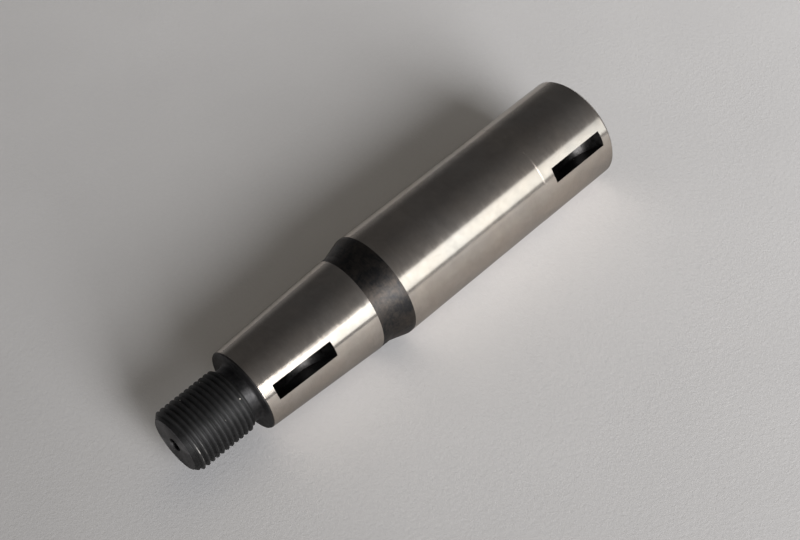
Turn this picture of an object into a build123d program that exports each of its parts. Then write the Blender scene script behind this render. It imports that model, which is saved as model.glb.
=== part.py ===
"""Tapered drive shaft, turned, threaded, milled and ground from one steel bar.

The shaft stands on its plain end.  The origin is the centre of that end face and +Z runs
along the axis to the threaded end.  Both keyseats open toward -Y.  Sizes are in mm.
"""

from math import radians, tan
import os

from build123d import *

os.makedirs("parts", exist_ok=True)

# ---- driving sizes -------------------------------------------------------------------

# plain end and its hub seat
seat_d = 40.1               # hub seat, ground
seat_length = 34.0
end_chamfer = 1.0
step_width = 0.5            # bevel between the hub seat and the bearing journal

# bearing journal
journal_d = 40.0            # ground
journal_length = 66.5

# collar: a black land, then a cone down to the grinding relief
land_length = 1.2
land_edge_radius = 1.0
cone_angle = 17.0           # from the axis, degrees
relief_d = 35.6
relief_length = 3.8
relief_radius = 1.0         # at the foot of the cone

# ground taper
taper_small_d = 31.0
taper_length = 47.5
taper_ratio = 10.0          # 1 mm of diameter in 10 mm of length
taper_edge_rise = 0.3       # broken edge at the shoulder face, radial
taper_edge_width = 0.5      # and axial

# threaded end
thread_d = 24.0
spigot_length = 28.5        # shoulder face to nose face
neck_d = 21.0
neck_length = 3.5
neck_radius = 1.0           # into the shoulder face
thread_run_out = 45.0       # chamfer from the neck up to the thread, degrees
nose_chamfer = 2.0

# keyseats, cut with a disc cutter whose axis crosses the shaft at a right angle
key_width = 6.0
keyseat_cutter_d = 28.0
keyseat_depth = 7.2         # below the surface at mid length
taper_keyseat_from_shoulder = 16.5   # shoulder face to the middle of the keyseat
end_keyseat_from_face = 16.7         # plain end face to the middle of the keyseat

# centre holes, 60 degree, one in each end face
nose_centre_pilot_d = 2.5
nose_centre_mouth_d = 5.3
nose_centre_pilot_depth = 4.5
end_centre_pilot_d = 4.0
end_centre_mouth_d = 8.5
end_centre_pilot_depth = 7.0
centre_angle = 60.0

# ---- stations along the axis, from the sizes above -----------------------------------

seat_r = seat_d / 2
journal_r = journal_d / 2
relief_r = relief_d / 2
neck_r = neck_d / 2
thread_r = thread_d / 2
taper_small_r = taper_small_d / 2
taper_large_r = taper_small_r + taper_length / taper_ratio / 2

z_seat = seat_length
z_journal = z_seat + journal_length
z_land = z_journal + land_length
z_cone = z_land + (journal_r - relief_r) / tan(radians(cone_angle))
z_relief = z_cone + relief_length
z_taper = z_relief + taper_length
z_shoulder = z_taper + taper_edge_width
z_neck = z_shoulder + neck_length
z_thread = z_neck + (thread_r - neck_r) / tan(radians(thread_run_out))
z_nose = z_shoulder + spigot_length

shoulder_r = taper_small_r - taper_edge_rise
nose_r = thread_r - nose_chamfer

cutter_r = keyseat_cutter_d / 2
z_taper_keyseat = z_shoulder - taper_keyseat_from_shoulder
taper_keyseat_r = taper_small_r + (z_taper - z_taper_keyseat) / taper_ratio / 2
keyseats = [(taper_keyseat_r, z_taper_keyseat), (seat_r, end_keyseat_from_face)]

# ---- model ---------------------------------------------------------------------------

with BuildPart() as shaft:
    # turned profile, one half section swung about the axis
    with BuildSketch(Plane.XZ) as half_section:
        with BuildLine():
            Polyline(
                (0, 0),
                (seat_r - end_chamfer, 0),
                (seat_r, end_chamfer),
                (seat_r, z_seat - step_width),
                (journal_r, z_seat),
                (journal_r, z_land),
                (relief_r, z_cone),
                (relief_r, z_relief),
                (taper_large_r, z_relief),
                (taper_small_r, z_taper),
                (shoulder_r, z_shoulder),
                (neck_r, z_shoulder),
                (neck_r, z_neck),
                (thread_r, z_thread),
                (thread_r, z_nose - nose_chamfer),
                (nose_r, z_nose),
                (0, z_nose),
                close=True,
            )
        make_face()
        corners = half_section.vertices()
        fillet(corners.sort_by_distance((journal_r, z_land))[0], land_edge_radius)
        fillet(corners.sort_by_distance((relief_r, z_cone))[0], relief_radius)
        fillet(corners.sort_by_distance((neck_r, z_shoulder))[0], neck_radius)
    revolve(axis=Axis.Z)

    # keyseats: the disc cutter's round, as wide as the key, sunk in from the -Y side
    with BuildSketch(Plane.YZ) as cutter_rounds:
        for surface_r, z_middle in keyseats:
            with Locations((keyseat_depth - surface_r - cutter_r, z_middle)):
                Circle(cutter_r)
    extrude(amount=key_width / 2, both=True, mode=Mode.SUBTRACT)

    # centre holes
    with Locations(Plane.XY.offset(z_nose)):
        CounterSinkHole(
            radius=nose_centre_pilot_d / 2,
            counter_sink_radius=nose_centre_mouth_d / 2,
            depth=nose_centre_pilot_depth,
            counter_sink_angle=centre_angle,
        )
    with Locations(Plane.XY.rotated((180, 0, 0))):
        CounterSinkHole(
            radius=end_centre_pilot_d / 2,
            counter_sink_radius=end_centre_mouth_d / 2,
            depth=end_centre_pilot_depth,
            counter_sink_angle=centre_angle,
        )

shaft.part.label = "shaft"
export_step(shaft.part, "parts/shaft.step")
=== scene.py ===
"""Tapered drive shaft lying on a pale table, seen from above the table's window side.

The shaft keeps the CAD frame: +Z runs along its axis to the threaded end and both
keyseats open toward -Y.  It lies on its side, so the table is the plane that touches the
hub seat parallel to the axis.  Lengths are in millimetres up to MM, then in metres.
"""

from collections import namedtuple
from math import atan2, cos, pi, radians, sin, tan

import bmesh
import bpy
import numpy as np
from mathutils import Matrix, Vector


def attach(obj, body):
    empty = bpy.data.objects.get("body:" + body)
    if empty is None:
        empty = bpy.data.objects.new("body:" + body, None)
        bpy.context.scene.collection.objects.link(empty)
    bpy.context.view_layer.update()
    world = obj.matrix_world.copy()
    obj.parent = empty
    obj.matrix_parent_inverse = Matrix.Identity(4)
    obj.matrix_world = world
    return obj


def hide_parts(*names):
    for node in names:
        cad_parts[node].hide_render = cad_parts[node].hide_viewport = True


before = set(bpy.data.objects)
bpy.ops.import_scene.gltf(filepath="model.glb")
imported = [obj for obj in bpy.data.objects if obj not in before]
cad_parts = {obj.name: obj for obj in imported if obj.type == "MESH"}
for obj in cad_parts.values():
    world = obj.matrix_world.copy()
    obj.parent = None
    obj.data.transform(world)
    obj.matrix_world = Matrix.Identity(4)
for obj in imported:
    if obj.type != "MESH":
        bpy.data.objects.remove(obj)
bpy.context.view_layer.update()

MM = 0.001

# ---- sizes of the shaft, as in the part's source -------------------------------------

SEAT_R, Z_SEAT, END_CHAMFER, STEP_WIDTH = 20.05, 34.0, 1.0, 0.5
JOURNAL_R, Z_JOURNAL = 20.0, 100.5
Z_LAND, LAND_EDGE_RADIUS = 101.7, 1.0
RELIEF_R, CONE_ANGLE, RELIEF_LENGTH, RELIEF_RADIUS = 17.8, 17.0, 3.8, 1.0
RELIEF_STEP = 0.06           # axial run of the step from the relief up to the taper
TAPER_SMALL_R, TAPER_LENGTH, TAPER_SLOPE = 15.5, 47.5, 1 / 20
TAPER_EDGE_RISE, TAPER_EDGE_WIDTH = 0.3, 0.5
NECK_R, NECK_LENGTH, NECK_RADIUS = 10.5, 3.5, 1.0
SPIGOT_LENGTH, NOSE_CHAMFER, THREAD_R = 28.5, 2.0, 12.0
KEY_WIDTH, CUTTER_R, KEYSEAT_DEPTH = 6.0, 14.0, 7.2
END_KEYSEAT_Z, TAPER_KEYSEAT_FROM_SHOULDER = 16.7, 16.5
END_CENTRE = (2.0, 4.25, 7.0)        # pilot radius, mouth radius, pilot depth
NOSE_CENTRE = (1.25, 2.65, 4.5)
CENTRE_HALF_ANGLE = 30.0

Z_CONE = Z_LAND + (JOURNAL_R - RELIEF_R) / tan(radians(CONE_ANGLE))
Z_RELIEF = Z_CONE + RELIEF_LENGTH
Z_TAPER = Z_RELIEF + TAPER_LENGTH
TAPER_LARGE_R = TAPER_SMALL_R + TAPER_LENGTH * TAPER_SLOPE
Z_SHOULDER = Z_TAPER + TAPER_EDGE_WIDTH
SHOULDER_R = TAPER_SMALL_R - TAPER_EDGE_RISE
Z_NECK = Z_SHOULDER + NECK_LENGTH
Z_NOSE = Z_SHOULDER + SPIGOT_LENGTH
NOSE_R = THREAD_R - NOSE_CHAMFER

# M24 x 2 right-hand thread, 60 degree
PITCH, CREST_FLAT, ROOT_R, FLANK_ANGLE = 2.0, 0.25, 10.773, 30.0
CREST_DROP, CREST_RUN = 0.035, 0.02          # bevel of the crest's corners
ROOT_RISE, ROOT_RUN = 0.025, 0.05            # bevel of the root's corners
FLANK_SHARES = (0.2, 0.45, 0.7, 0.9)         # of the way down a flank, where it has rows
CREST_Z, CREST_AZIMUTH = 186.44, radians(-150.9)   # one point on the crest line

SEGMENTS = 208               # round the axis
EDGE_BREAK = 0.12            # radius that every turned edge is broken to
RUBBED_GLINT_AZIMUTH = radians(-122.4)   # middle of the part of the thread's crest scuffed to bright steel, partly wear and partly a painted glint
RUBBED_GLINT_LENGTH = 4.6          # how far from the nose it reaches
ARC_STEPS = 5                # of every rounded corner of the profile
GRIND_SKEW = 0.75            # how far the ground taper's end runs askew over the relief
SKEW_REACH = 0.1             # the rings this near to that end run askew with it

# ---- directions ----------------------------------------------------------------------

AXIS = Vector((0, 0, 1))
TABLE_NORMAL = Vector((0.904, -0.4275, 0)).normalized()
TABLE_ACROSS = TABLE_NORMAL.cross(AXIS).normalized()   # over the table, toward the window
MIDDLE = Vector((0, 0, Z_NOSE / 2)) * MM

Arc = namedtuple("Arc", "z r radius side")
arcs = []


def rounded(before, corner, after, radius):
    """The points of the arc that rounds a profile corner, which is noted for its normals."""
    b, c, a = Vector(before), Vector(corner), Vector(after)
    to_b, to_a = (b - c).normalized(), (a - c).normalized()
    half = to_b.angle(to_a) / 2
    centre = c + (to_b + to_a).normalized() * radius / sin(half)
    start = c + to_b * radius / tan(half) - centre
    end = c + to_a * radius / tan(half) - centre
    convex = to_b.x * to_a.y > to_b.y * to_a.x
    arcs.append(Arc(centre.x, centre.y, radius, 1 if convex else -1))
    turn = start.angle(end)
    made = []
    for i in range(ARC_STEPS + 1):
        t = i / ARC_STEPS
        p = (start * sin((1 - t) * turn) + end * sin(t * turn)) / sin(turn)
        made.append(tuple(centre + p))
    return made


def profile(corners):
    """(z, r, material) points; a corner is (z, r, material of the run after it, radius)."""
    points = []
    for i, (z, r, mat, radius) in enumerate(corners):
        if radius:
            arc = rounded(corners[i - 1][:2], (z, r), corners[i + 1][:2], radius)
            before = corners[i - 1][2]
            points += [(*p, before) for p in arc[:-1]] + [(*arc[-1], mat)]
        else:
            points.append((z, r, mat))
    return points


GROUND, BLACK, THREAD, FACE, KEYSEAT = range(5)


def centre_hole(face_z, inward, pilot_r, mouth_r, depth, mat):
    """Centre drilling from its bottom out to its mouth."""
    cone = (mouth_r - pilot_r) / tan(radians(CENTRE_HALF_ANGLE))
    return [
        (face_z + inward * depth, pilot_r, mat, 0),
        (face_z + inward * cone, pilot_r, mat, 0),
        (face_z, mouth_r, mat, 0),
    ]


lower_corners = [
    *centre_hole(0, 1, *END_CENTRE, FACE),
    (0, SEAT_R - END_CHAMFER, GROUND, EDGE_BREAK),
    (END_CHAMFER, SEAT_R, GROUND, EDGE_BREAK),
    (Z_SEAT - STEP_WIDTH, SEAT_R, GROUND, 0),
    (Z_SEAT, JOURNAL_R, GROUND, 0),
    (Z_JOURNAL, JOURNAL_R, BLACK, 0),
    (Z_LAND, JOURNAL_R, BLACK, LAND_EDGE_RADIUS),
    (Z_CONE, RELIEF_R, BLACK, RELIEF_RADIUS),
    (Z_RELIEF - RELIEF_STEP, RELIEF_R, BLACK, 0),
    (Z_RELIEF, TAPER_LARGE_R, GROUND, 0),
    (Z_TAPER, TAPER_SMALL_R, BLACK, EDGE_BREAK),
    (Z_SHOULDER, SHOULDER_R, BLACK, EDGE_BREAK),
    (Z_SHOULDER, NECK_R, BLACK, NECK_RADIUS),
    (Z_NECK, NECK_R, BLACK, 0),
]
nose_corners = [
    (Z_NOSE, NOSE_R, BLACK, 0),
    *reversed(centre_hole(Z_NOSE, -1, *NOSE_CENTRE, BLACK)),
]

# ---- the shaft's mesh ----------------------------------------------------------------

AZIMUTHS = np.arange(SEGMENTS) * 2 * pi / SEGMENTS
# the upper-left of the photograph, where the ground surface reaches furthest down
SKEW_AZIMUTH = atan2(0.444, 0.896)


def thread_rows():
    """(offset from the crest line, radius) over one pitch of the thread."""
    flank_run = (THREAD_R - ROOT_R) * tan(radians(FLANK_ANGLE))
    half_crest = CREST_FLAT / 2
    root_start = half_crest + flank_run
    side = [
        (half_crest - CREST_DROP, THREAD_R),
        (half_crest + CREST_RUN, THREAD_R - CREST_DROP),
    ]
    side += [
        (half_crest + t * flank_run, THREAD_R - t * (THREAD_R - ROOT_R))
        for t in FLANK_SHARES
    ]
    side += [(root_start + ROOT_RUN, ROOT_R + ROOT_RISE), (PITCH / 2, ROOT_R)]
    return [(-o, r) for o, r in reversed(side[:-1])] + side


def envelope(z):
    """Largest radius of the threaded end at a station: run-out, crest, nose chamfer."""
    return min(THREAD_R, NECK_R + (z - Z_NECK), NOSE_R + (Z_NOSE - z))


def thread_vertex(azimuth, turn, offset, radius):
    z = CREST_Z + PITCH * (azimuth - CREST_AZIMUTH) / (2 * pi) + turn * PITCH + offset
    z = min(max(z, Z_NECK), Z_NOSE)
    r = min(radius, envelope(z))
    return (r * cos(azimuth), r * sin(azimuth), z)


def ring(z, r):
    """One ring of vertices; the two at the relief's end lean with the grinding line."""
    at_relief_end = abs(z - Z_RELIEF) < SKEW_REACH
    made = []
    for a in AZIMUTHS:
        lean = -GRIND_SKEW * cos(a - SKEW_AZIMUTH) if at_relief_end else 0
        here = r - TAPER_SLOPE * lean if r == TAPER_LARGE_R else r
        made.append((here * cos(a), here * sin(a), z + lean))
    return made


def lathe(vertices, faces, materials, corners, outward):
    """Adds the rings of a profile; outward is True where it is given from hole to rim."""
    points = profile(corners)
    first = len(vertices)
    for z, r, _ in points:
        vertices.extend(ring(z, r))
    for k in range(len(points) - 1):
        for i in range(SEGMENTS):
            a, b = first + k * SEGMENTS + i, first + k * SEGMENTS + (i + 1) % SEGMENTS
            faces.append((a, b, b + SEGMENTS, a + SEGMENTS))
            materials.append(points[k][2])
    # the flat bottom of the centre hole
    start = first if outward else first + (len(points) - 1) * SEGMENTS
    z = points[0][0] if outward else points[-1][0]
    hub = len(vertices)
    vertices.append((0, 0, z))
    for i in range(SEGMENTS):
        a, b = start + i, start + (i + 1) % SEGMENTS
        faces.append((hub, b, a) if outward else (hub, a, b))
        materials.append(points[0][2] if outward else points[-1][2])


def shaft_mesh():
    vertices, faces, materials = [], [], []
    lathe(vertices, faces, materials, lower_corners, True)
    lathe(vertices, faces, materials, nose_corners, False)

    rows = thread_rows()
    span = (Z_NOSE - Z_NECK) / PITCH
    # a few turns to spare at both ends, where thread_vertex flattens them
    first_turn = -int((CREST_Z - Z_NECK) / PITCH) - 3
    turns = int(span) + 5
    first = len(vertices)
    for azimuth in AZIMUTHS:
        for turn in range(first_turn, first_turn + turns):
            vertices += [thread_vertex(azimuth, turn, o, r) for o, r in rows]
    column = turns * len(rows)
    for i in range(SEGMENTS):
        here = first + i * column
        there = first + (i + 1) % SEGMENTS * column
        shift = len(rows) if i == SEGMENTS - 1 else 0
        for j in range(column - 1 - shift):
            a, b = here + j, there + j + shift
            faces.append((a, b, b + 1, a + 1))
            materials.append(THREAD)

    mesh = bpy.data.meshes.new("shaft_dressed")
    mesh.from_pydata([Vector(v) * MM for v in vertices], [], faces)
    mesh.polygons.foreach_set("material_index", materials)
    return mesh


# ---- keyseats ------------------------------------------------------------------------

CUTTER_SEGMENTS = 256
Cutter = namedtuple("Cutter", "y z")
taper_keyseat_z = Z_SHOULDER - TAPER_KEYSEAT_FROM_SHOULDER
taper_keyseat_r = TAPER_SMALL_R + (Z_TAPER - taper_keyseat_z) * TAPER_SLOPE
cutters = [
    Cutter(KEYSEAT_DEPTH - taper_keyseat_r - CUTTER_R, taper_keyseat_z),
    Cutter(KEYSEAT_DEPTH - SEAT_R - CUTTER_R, END_KEYSEAT_Z),
]
SAME_POINT, NO_LENGTH = 1e-6, 1e-7           # metres


def cutter_object(cutter):
    """The disc cutter as a solid, its axis along X."""
    around = [2 * pi * i / CUTTER_SEGMENTS for i in range(CUTTER_SEGMENTS)]
    vertices = [
        (x, cutter.y + CUTTER_R * cos(a), cutter.z + CUTTER_R * sin(a))
        for x in (-KEY_WIDTH / 2, KEY_WIDTH / 2)
        for a in around
    ]
    n = CUTTER_SEGMENTS
    faces = [(i, (i + 1) % n, n + (i + 1) % n, n + i) for i in range(n)]
    faces += [tuple(reversed(range(n))), tuple(range(n, 2 * n))]
    mesh = bpy.data.meshes.new("cutter")
    mesh.from_pydata([Vector(v) * MM for v in vertices], [], faces)
    mesh.polygons.foreach_set("material_index", [KEYSEAT] * len(faces))
    return tidy(mesh)


def tidy(mesh):
    """Merges doubled points and turns every face outward; gives the mesh an object."""
    bm = bmesh.new()
    bm.from_mesh(mesh)
    bmesh.ops.remove_doubles(bm, verts=bm.verts, dist=SAME_POINT)
    bmesh.ops.dissolve_degenerate(bm, edges=bm.edges, dist=NO_LENGTH)
    bmesh.ops.recalc_face_normals(bm, faces=bm.faces)
    bm.to_mesh(mesh)
    bm.free()
    made = bpy.data.objects.new(mesh.name, mesh)
    bpy.context.scene.collection.objects.link(made)
    return made


def cut_keyseats(shaft):
    """Takes both keyseats out of the shaft's mesh for good."""
    for i, cutter in enumerate(cutters):
        tool = cutter_object(cutter)
        cut = shaft.modifiers.new(f"keyseat_{i}", "BOOLEAN")
        cut.operation, cut.solver, cut.object = "DIFFERENCE", "EXACT", tool
        cut.material_mode = "INDEX"
        graph = bpy.context.evaluated_depsgraph_get()
        made = bpy.data.meshes.new_from_object(shaft.evaluated_get(graph))
        shaft.modifiers.clear()
        shaft.data = made
        bpy.data.objects.remove(tool)


# ---- normals -------------------------------------------------------------------------

SHARP_ANGLE = 38.0           # degrees; thread edges that turn further are shaded sharp
ON_AXIS = 1e-3               # nearer to the axis than this is on it
ALIGNED = 0.9                # cosine above which two directions count as one
# how far off its arc a facet may lie: a length, and a share of the radius
ARC_SLACK, ARC_SAG = 0.003, 0.03
Corners = namedtuple("Corners", "at centre flat material")


def read(items, name, width=1, kind=np.float32):
    """One property of every item: an array with an entry, or a row, for each."""
    values = np.empty(len(items) * width, kind)
    items.foreach_get(name, values)
    return values.reshape(-1, width) if width > 1 else values


def corners_of(mesh):
    """Each corner's place, with its face's centre, flat normal and material."""
    vertex = read(mesh.loops, "vertex_index", kind=np.int32)
    sides = read(mesh.polygons, "loop_total", kind=np.int32)
    face = np.repeat(np.arange(len(sides)), sides)
    return Corners(
        (read(mesh.vertices, "co", 3) / MM)[vertex],
        read(mesh.polygons, "center", 3)[face] / MM,
        read(mesh.polygons, "normal", 3)[face],
        read(mesh.polygons, "material_index", kind=np.int32)[face],
    )


def turned_normals(corners):
    """The face's own slope, swung round to the corner's azimuth."""
    at, centre, flat, _ = corners
    radius = np.hypot(at[:, 0], at[:, 1])
    slope = np.hypot(flat[:, 0], flat[:, 1])
    inward = (flat[:, :2] * centre[:, :2]).sum(1) < 0
    slope = np.where(inward, -slope, slope)
    outward = at[:, :2] / np.maximum(radius, ON_AXIS)[:, None]
    turned = np.column_stack([outward * slope[:, None], flat[:, 2]])
    turned[radius < ON_AXIS] = flat[radius < ON_AXIS]
    return turned


def round_off(normal, corners, turned):
    """Gives the corners that lie on an arc of the profile the arc's own normals."""
    at, centre, flat, _ = corners
    radius = np.hypot(at[:, 0], at[:, 1])
    outward = at[:, :2] / np.maximum(radius, ON_AXIS)[:, None]
    centre_r = np.hypot(centre[:, 0], centre[:, 1])
    for arc in arcs:
        off = np.hypot(centre[:, 2] - arc.z, centre_r - arc.r)
        on_arc = turned & (abs(off - arc.radius) < ARC_SAG * arc.radius + ARC_SLACK)
        away = arc.side * np.column_stack([
            outward * (radius - arc.r)[:, None], at[:, 2] - arc.z,
        ])
        away /= np.linalg.norm(away, axis=1)[:, None]
        on_arc &= (away * flat).sum(1) > ALIGNED
        normal[on_arc] = away[on_arc]


def square_off_keyseats(normal, corners):
    """Keyseat floors are round about the cutter's axis, and their walls are flat."""
    at, centre, flat, material = corners
    for cutter in cutters:
        here = (material == KEYSEAT) & (abs(centre[:, 2] - cutter.z) < CUTTER_R)
        wall = here & (abs(flat[:, 0]) > ALIGNED)
        floor = here & ~wall
        to_axis = np.column_stack([
            np.zeros(len(at)), cutter.y - at[:, 1], cutter.z - at[:, 2],
        ]) / CUTTER_R
        normal[wall] = flat[wall]
        normal[floor] = to_axis[floor]


def true_normals(mesh):
    """Shades each corner with the normal of the turned or milled surface it lies on."""
    mesh.shade_smooth()
    mesh.set_sharp_from_angle(angle=radians(SHARP_ANGLE))
    normal = read(mesh.corner_normals, "vector", 3)
    corners = corners_of(mesh)
    turned = (corners.material != KEYSEAT) & (corners.material != THREAD)
    normal[turned] = turned_normals(corners)[turned]
    round_off(normal, corners, turned)
    square_off_keyseats(normal, corners)
    mesh.normals_split_custom_set(normal.tolist())


shaft = tidy(shaft_mesh())
shaft.name = "dressed_shaft"
cut_keyseats(shaft)
true_normals(shaft.data)

# ---- materials -----------------------------------------------------------------------


class Tree:
    """A material's or the world's node tree, with short ways to add nodes and do sums."""

    def __init__(self, owner):
        self.owner = owner
        owner.use_nodes = True
        self.nodes = owner.node_tree.nodes
        self.links = owner.node_tree.links
        self.nodes.clear()

    def add(self, kind, inputs=None, **settings):
        node = self.nodes.new("ShaderNode" + kind)
        for key, value in settings.items():
            setattr(node, key, value)
        for key, value in (inputs or {}).items():
            self.put(node.inputs[key], value)
        return node

    def put(self, socket, value):
        if isinstance(value, bpy.types.NodeSocket):
            self.links.new(value, socket)
        else:
            socket.default_value = value

    def sum(self, operation, *values):
        """What a Math node makes of the values."""
        node = self.add("Math", operation=operation)
        for socket, value in zip(node.inputs, values):
            self.put(socket, value)
        return node.outputs[0]

    def mixed(self, *parts):
        """Sum of (weight, value) pairs."""
        products = [self.sum("MULTIPLY", value, weight) for weight, value in parts]
        total = products[0]
        for product in products[1:]:
            total = self.sum("ADD", total, product)
        return total

    def vector(self, x, y, z):
        return self.add("CombineXYZ", {"X": x, "Y": y, "Z": z}).outputs[0]

    def noise(self, vector, scale, detail=2.0, roughness=0.5, distortion=0.0):
        node = self.add("TexNoise", {
            "Vector": vector, "Scale": scale, "Detail": detail,
            "Roughness": roughness, "Distortion": distortion,
        })
        return node.outputs["Fac"]

    def spread(self, value, low, high, to_low=0.0, to_high=1.0):
        """The value from low to high, mapped and clamped to the other range."""
        node = self.add("MapRange", {
            "Value": value, "From Min": low, "From Max": high,
            "To Min": to_low, "To Max": to_high,
        })
        return node.outputs["Result"]

    def blend(self, factor, a, b):
        """Colour a where the factor is 0 and b where it is 1."""
        node = self.add("Mix", data_type="RGBA")
        self.put(node.inputs["Factor"], factor)
        rgba = [k for k in node.inputs if k.type == "RGBA"]
        self.put(rgba[0], a)
        self.put(rgba[1], b)
        return [k for k in node.outputs if k.type == "RGBA"][0]

    def scaled(self, colour, factor):
        node = self.add("VectorMath", operation="SCALE")
        self.put(node.inputs[0], colour)
        self.put(node.inputs["Scale"], factor)
        return node.outputs[0]

    def bump(self, height, distance, after=None):
        node = self.add("Bump", {"Height": height, "Distance": distance, "Strength": 1.0})
        if after is not None:
            self.put(node.inputs["Normal"], after)
        return node.outputs["Normal"]

    def choice(self, factor, a, b):
        """Shader a where the factor is 0 and b where it is 1."""
        node = self.add("MixShader", {0: factor})
        self.links.new(a.outputs[0], node.inputs[1])
        self.links.new(b.outputs[0], node.inputs[2])
        return node

    def surface(self, shader, output="OutputMaterial"):
        out = self.add(output)
        self.links.new(shader.outputs[0], out.inputs["Surface"])
        return self.owner


def material_tree(name):
    return Tree(bpy.data.materials.new(name))


def round_the_axis(t):
    """Object coordinates, the unit radial direction, the radius and the station, in mm."""
    place = t.add("TexCoord").outputs["Object"]
    xyz = t.add("SeparateXYZ", {"Vector": place})
    x, y, z = [t.sum("MULTIPLY", k, 1 / MM) for k in xyz.outputs]
    r = t.sum("SQRT", t.sum("ADD", t.sum("MULTIPLY", x, x), t.sum("MULTIPLY", y, y)))
    r = t.sum("MAXIMUM", r, 1e-3)
    return place, t.sum("DIVIDE", x, r), t.sum("DIVIDE", y, r), r, z


def lathe_marks(t, ex, ey, along, around, per_mm):
    """Noise drawn out round the axis: streaks across, about per_mm of them a millimetre."""
    at = t.vector(
        t.sum("MULTIPLY", ex, around), t.sum("MULTIPLY", ey, around),
        t.sum("MULTIPLY", along, per_mm),
    )
    return t.noise(at, 1.0, detail=3.0, roughness=0.6)


ALONG_THE_AXIS, ROUND_THE_AXIS = 0.25, 0.0      # ways that a sheen is drawn out, in turns
WARM_STEEL, COOL_STEEL = (0.622, 0.553, 0.486, 1), (0.590, 0.541, 0.491, 1)
NEUTRAL_OXIDE = (0.118, 0.115, 0.117, 1)
# steel for the thread's scuffed crest, partly a painted glint; and the nicks' specks
BARE_METAL_GLINT, BRIGHT_SPECK = (0.5, 0.48, 0.46, 1), (0.6, 0.57, 0.53, 1)


def lie_of_the_grain(t, turn):
    """Inputs that draw a sheen out by the given turn."""
    return {
        "Anisotropic": 0.7, "Anisotropic Rotation": turn,
        "Tangent": t.add("Tangent", direction_type="RADIAL", axis="Z").outputs[0],
    }


def ground_steel():
    t = material_tree("ground_steel")
    place, ex, ey, r, z = round_the_axis(t)
    marks = lathe_marks(t, ex, ey, z, around=5.0, per_mm=2.4)
    stain = t.noise(place, 70.0, detail=6.0, roughness=0.66, distortion=0.8)
    mottle = t.noise(place, 260.0, detail=4.0, roughness=0.65)
    tint = t.noise(place, 45.0, detail=3.0, roughness=0.6)
    hue = t.blend(t.spread(tint, 0.38, 0.62), WARM_STEEL, COOL_STEEL)
    tone = t.mixed((0.2, marks), (0.5, stain), (0.3, mottle))
    tone = t.spread(tone, 0.38, 0.62, to_low=0.84, to_high=1.03)
    rough = t.mixed((0.6, marks), (0.25, stain), (0.15, mottle))
    rough = t.spread(rough, 0.36, 0.64, to_low=0.15, to_high=0.225)
    # the taper is ground finer
    finer = t.spread(z, Z_RELIEF, Z_RELIEF + 1.0, to_low=0.0, to_high=-0.035)
    # the hub seat's small step throws its light further round
    from_step = t.sum("ABSOLUTE", t.sum("SUBTRACT", z, Z_SEAT - STEP_WIDTH / 2))
    coarser = t.spread(from_step, STEP_WIDTH * 0.5, STEP_WIDTH * 0.8,
                       to_low=0.05, to_high=0.0)
    rough = t.sum("ADD", t.sum("ADD", rough, finer), coarser)
    shader = t.add("BsdfPrincipled", {
        "Base Color": t.scaled(hue, tone), "Roughness": rough, "Metallic": 1.0,
        "Specular Tint": (0.72, 0.72, 0.72, 1), "Normal": t.bump(marks, 0.000002),
        **lie_of_the_grain(t, ALONG_THE_AXIS),
    })
    return t.surface(shader)


def nicks(t, place, per_metre, share, size):
    """1 on small bright specks, in a share of cells per_metre to the metre."""
    cells = t.add("TexVoronoi", {"Vector": place, "Scale": per_metre})
    return t.sum("MULTIPLY",
                 t.spread(cells.outputs["Distance"], size, size * 0.5),
                 t.sum("LESS_THAN", cells.outputs["Color"], share))


def black_oxide(name, light, dark, roughness, metallic, grain_turn, painted_light_and_wear=None):
    """Black oxide, clouded from dark to light; the optional function adds painted light and
    shade, wear and tint.
    """
    t = material_tree(name)
    place, ex, ey, r, z = round_the_axis(t)
    marks = lathe_marks(t, ex, ey, t.sum("SUBTRACT", z, r), around=4.0, per_mm=2.5)
    cloud = t.noise(place, 130.0, detail=6.0, roughness=0.68, distortion=0.5)
    grit = t.noise(place, 600.0, detail=3.0, roughness=0.65)
    tone = t.mixed((0.15, marks), (0.55, cloud), (0.3, grit))
    tone = t.spread(tone, 0.41, 0.61)
    if painted_light_and_wear is None:
        colour = t.blend(tone, dark, light)
    else:
        shade, bare_glint, light = painted_light_and_wear(t, light, place, ex, ey, r, z)
        # painted light and shade scale the colour; the mask blends in bright steel: wear, on
        # the thread also a painted glint
        colour = t.scaled(t.blend(tone, dark, light), shade)
        colour = t.blend(bare_glint, colour, BARE_METAL_GLINT)
    speck = nicks(t, place, per_metre=280.0, share=0.2, size=0.09)
    colour = t.blend(speck, colour, BRIGHT_SPECK)
    shader = t.add("BsdfPrincipled", {
        "Base Color": colour, "Metallic": metallic,
        "Roughness": t.spread(cloud, 0.3, 0.7, *roughness),
        "Normal": t.bump(marks, 0.000006, after=t.bump(grit, 0.00002)),
        **lie_of_the_grain(t, grain_turn),
    })
    return t.surface(shader)


def thread_painted_light_and_wear(t, light, place, ex, ey, r, z):
    """Painted shade darker toward the roots, and crests scuffed to bright steel near the nose
    on one side: partly wear, partly a painted glint.
    """
    rubbed_glint_from = Z_NOSE - RUBBED_GLINT_LENGTH
    # painted shade: darker toward the thread's roots
    shade = t.spread(r, ROOT_R + 0.25, ROOT_R + 0.85, to_low=0.55)
    # crests near the nose, on one side only: wear and a painted glint
    crest = t.sum("MULTIPLY", t.spread(r, THREAD_R - 0.08, THREAD_R - 0.01),
                  t.spread(z, rubbed_glint_from, rubbed_glint_from + 0.6))
    toward = t.sum("ADD", t.sum("MULTIPLY", ex, cos(RUBBED_GLINT_AZIMUTH)),
                   t.sum("MULTIPLY", ey, sin(RUBBED_GLINT_AZIMUTH)))
    rubbed_glint = t.spread(t.noise(place, 320.0), 0.42, 0.55, to_low=0.1)
    rubbed_glint = t.sum("MULTIPLY", rubbed_glint, t.spread(toward, 0.72, 0.9))
    return shade, t.sum("MULTIPLY", crest, rubbed_glint), light


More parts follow.
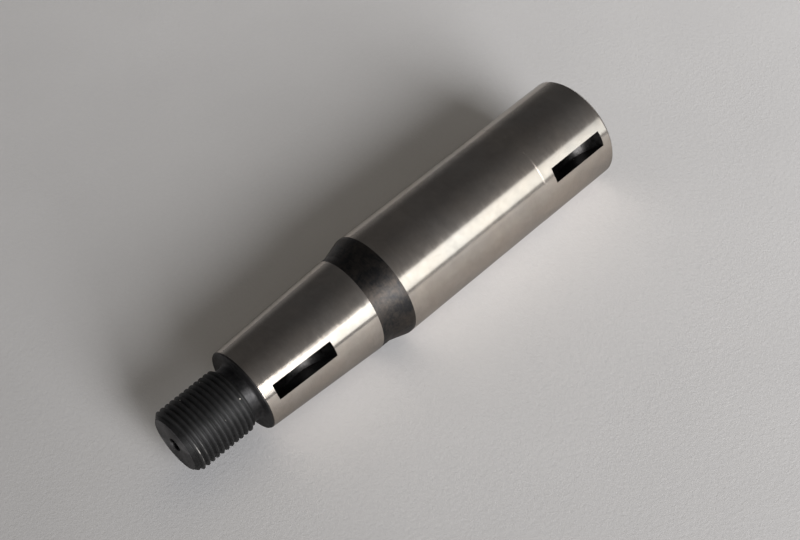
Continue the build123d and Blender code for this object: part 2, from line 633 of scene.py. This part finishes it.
def nose_painted_light_and_tint(t, light, place, ex, ey, r, z):
    """The nose's face is painted paler, painted light; its centre hole is painted dark inside,
    painted shade; the cone is browner.
    """
    # painted shade inside the centre hole
    shade = t.spread(r, NOSE_CENTRE[1] - 0.3, NOSE_CENTRE[1] + 0.2, to_low=0.08)
    # painted light: the nose's face is made paler
    face = t.spread(z, Z_NOSE - NOSE_CHAMFER, Z_NOSE - 0.2, to_low=1.0, to_high=1.6)
    light = t.blend(t.spread(z, Z_TAPER, Z_SHOULDER), light, NEUTRAL_OXIDE)
    return t.sum("MULTIPLY", shade, face), 0.0, light


def turned_face():
    """The plain end's face, turned and left bright."""
    t = material_tree("turned_end_face")
    place, ex, ey, r, z = round_the_axis(t)
    marks = lathe_marks(t, ex, ey, r, around=2.0, per_mm=5.0)
    stain = t.noise(place, 90.0, detail=4.0, roughness=0.6, distortion=0.5)
    tone = t.spread(t.mixed((0.6, marks), (0.4, stain)), 0.35, 0.65)
    dark, light = (0.44, 0.41, 0.38, 1), (0.58, 0.54, 0.50, 1)
    shader = t.add("BsdfPrincipled", {
        "Base Color": t.blend(tone, dark, light),
        "Roughness": t.spread(marks, 0.3, 0.7, to_low=0.26, to_high=0.38),
        "Metallic": 1.0, "Normal": t.bump(marks, 0.000008),
    })
    return t.surface(shader)


# in the order of GROUND, BLACK, THREAD, FACE, KEYSEAT
for made in (
    ground_steel(),
    black_oxide("black_oxide", light=(0.116, 0.100, 0.088, 1), dark=(0.047, 0.047, 0.049, 1),
                roughness=(0.50, 0.64), metallic=1.0, grain_turn=ALONG_THE_AXIS,
                painted_light_and_wear=nose_painted_light_and_tint),
    black_oxide("black_thread", light=(0.074, 0.074, 0.076, 1), dark=(0.044, 0.044, 0.045, 1),
                roughness=(0.6, 0.7), metallic=0.75, grain_turn=ALONG_THE_AXIS,
                painted_light_and_wear=thread_painted_light_and_wear),
    turned_face(),
    black_oxide("black_keyseat", light=(0.075, 0.072, 0.072, 1), dark=(0.022, 0.021, 0.021, 1),
                roughness=(0.36, 0.46), metallic=1.0, grain_turn=ROUND_THE_AXIS),
):
    shaft.data.materials.append(made)

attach(shaft, "root")
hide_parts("shaft")

# ---- table ---------------------------------------------------------------------------


def facing(normal, up):
    """Rotation whose Z is the normal and whose Y leans toward up."""
    side = up.cross(normal).normalized()
    return Matrix((side, normal.cross(side), normal)).transposed().to_4x4()


TABLE_HALF = 0.42            # metres
PAINTED_SHADE_REACH = 0.06         # how far the painted shade under the shaft reaches, metres


def table_material():
    t = material_tree("table_top")
    place = t.add("TexCoord").outputs["Object"]
    grain = t.noise(place, 650.0, detail=4.0, roughness=0.7, distortion=0.6)
    cloud = t.noise(place, 14.0, detail=3.0, roughness=0.5)
    tone = t.spread(t.mixed((0.4, grain), (0.6, cloud)), 0.3, 0.7)
    dark, light = (0.695, 0.693, 0.71, 1), (0.755, 0.753, 0.77, 1)
    # colour of the painted shade under the shaft
    painted_contact_shade = (0.15, 0.145, 0.14, 1)
    # painted shade: gloss sees the table darker close under the shaft
    away = t.sum("ABSOLUTE", t.add("SeparateXYZ", {"Vector": place}).outputs["X"])
    contact_shade_mask = t.sum("MULTIPLY",
                    t.spread(away, 0.0, PAINTED_SHADE_REACH, to_low=0.66, to_high=0.0),
                    t.add("LightPath").outputs["Is Glossy Ray"])
    colour = t.blend(contact_shade_mask, t.blend(tone, dark, light), painted_contact_shade)
    top = t.add("BsdfPrincipled", {
        "Base Color": colour, "Roughness": 0.6, "Specular IOR Level": 0.3,
        "Normal": t.bump(grain, 0.0001),
    })
    # only the top is there; seen from below it doesn't hide the shaft
    below = t.add("NewGeometry").outputs["Backfacing"]
    return t.surface(t.choice(below, top, t.add("BsdfTransparent")))


mesh = bpy.data.meshes.new("table")
sides = ((-1, -1), (1, -1), (1, 1), (-1, 1))
mesh.from_pydata([(x * TABLE_HALF, y * TABLE_HALF, 0) for x, y in sides], [], [(0, 1, 2, 3)])
mesh.materials.append(table_material())
table = bpy.data.objects.new("table", mesh)
bpy.context.scene.collection.objects.link(table)
table.matrix_world = (
    Matrix.Translation(MIDDLE - TABLE_NORMAL * SEAT_R * MM) @ facing(TABLE_NORMAL, AXIS)
)

# ---- light ---------------------------------------------------------------------------


def softbox(name, elevation, turn, distance, width, height, power, colour,
            spread=180, swing=0, seen_in_gloss=True, lights_matt=True):
    """A soft area light: elevation over the table, turned toward the plain end.

    Its beam is as wide as spread, and swings toward the plain end of the table.
    """
    el, az = radians(elevation), radians(turn)
    way = TABLE_NORMAL * sin(el) + (TABLE_ACROSS * cos(az) - AXIS * sin(az)) * cos(el)
    lamp = bpy.data.lights.new(name, "AREA")
    lamp.shape, lamp.size, lamp.size_y = "RECTANGLE", width, height
    lamp.energy, lamp.color, lamp.spread = power, colour, radians(spread)
    made = bpy.data.objects.new(name, lamp)
    bpy.context.scene.collection.objects.link(made)
    aim = Matrix.Rotation(radians(swing), 4, TABLE_NORMAL) @ facing(way, TABLE_NORMAL)
    made.matrix_world = Matrix.Translation(MIDDLE + way * distance) @ aim
    made.visible_glossy, made.visible_diffuse = seen_in_gloss, lights_matt


# (turn, power) of the window's panes; window_side is seen only in gloss
WINDOW_PANES = ((-14, 61), (-6, 61), (2, 38))
for pane, (turn, power) in enumerate(WINDOW_PANES):
    softbox(f"window_pane_{pane}", elevation=22, turn=turn, distance=3.6, width=0.62,
            height=2.07, power=power, colour=(1.0, 0.99, 0.975), spread=90, swing=-38)
softbox("window_side", elevation=17.2, turn=22.5, distance=2.0, width=1.03, height=0.97,
        power=4.4, colour=(0.95, 1.0, 0.995), lights_matt=False)
softbox("room_fill", elevation=70, turn=90, distance=1.6, width=1.6, height=1.6, power=2.2,
        colour=(1.0, 0.82, 0.52), seen_in_gloss=False)

# strengths of the world, and how it falls off
ROOM_LEVEL, WINDOW_LEVEL, FAR_SIDE_LEVEL = 0.06, 0.125, 0.17
WINDOW_WRAP, FAR_SIDE_FALL = 0.4, 2.4


def room():
    """The world: lighter toward the window, and low down on the far side of the table."""
    t = Tree(bpy.data.worlds.new("room"))
    way = t.add("TexCoord").outputs["Generated"]

    def along(direction):
        node = t.add("VectorMath", {0: way, 1: direction}, operation="DOT_PRODUCT")
        return node.outputs["Value"]

    lean = along(TABLE_ACROSS)
    toward = t.sum("MAXIMUM", t.sum("ADD", lean, WINDOW_WRAP), 0.0)
    rise = t.sum("ABSOLUTE", along(TABLE_NORMAL))
    low = t.sum("SUBTRACT", 1.0, t.sum("MULTIPLY", rise, FAR_SIDE_FALL))
    low = t.sum("MAXIMUM", low, 0.0)
    behind = t.sum("MAXIMUM", t.sum("MULTIPLY", lean, -1.0), 0.0)
    far_side = t.sum("MULTIPLY", t.sum("POWER", low, 2.0), behind)
    level = t.mixed((WINDOW_LEVEL, t.sum("POWER", toward, 2.0)), (FAR_SIDE_LEVEL, far_side))
    level = t.sum("ADD", level, ROOM_LEVEL)
    lit = t.add("Background", {"Color": (1.0, 1.0, 1.02, 1), "Strength": level})
    seen = t.add("Background", {"Color": (0.55, 0.54, 0.54, 1)})
    camera_ray = t.add("LightPath").outputs["Is Camera Ray"]
    return t.surface(t.choice(camera_ray, lit, seen), "OutputWorld")


bpy.context.scene.world = room()

# ---- camera --------------------------------------------------------------------------

SENSOR_WIDTH, LENS = 36.0, 69.6635
CAMERA_PLACE = Vector((0.22966, -0.43708, 0.29813))
# against the way the camera looks, and up in the picture
CAMERA_BACK = Vector((0.430691, -0.814495, 0.388721)).normalized()
CAMERA_UP = Vector((0.803888, 0.150453, -0.575437))
NEAREST, FURTHEST = 0.02, 20.0

camera = bpy.data.objects.new("camera", bpy.data.cameras.new("camera"))
bpy.context.scene.collection.objects.link(camera)
camera.data.sensor_width, camera.data.lens = SENSOR_WIDTH, LENS
camera.data.clip_start, camera.data.clip_end = NEAREST, FURTHEST
camera.matrix_world = Matrix.Translation(CAMERA_PLACE) @ facing(CAMERA_BACK, CAMERA_UP)
bpy.context.scene.camera = camera

bpy.context.scene.view_settings.view_transform = "Standard"
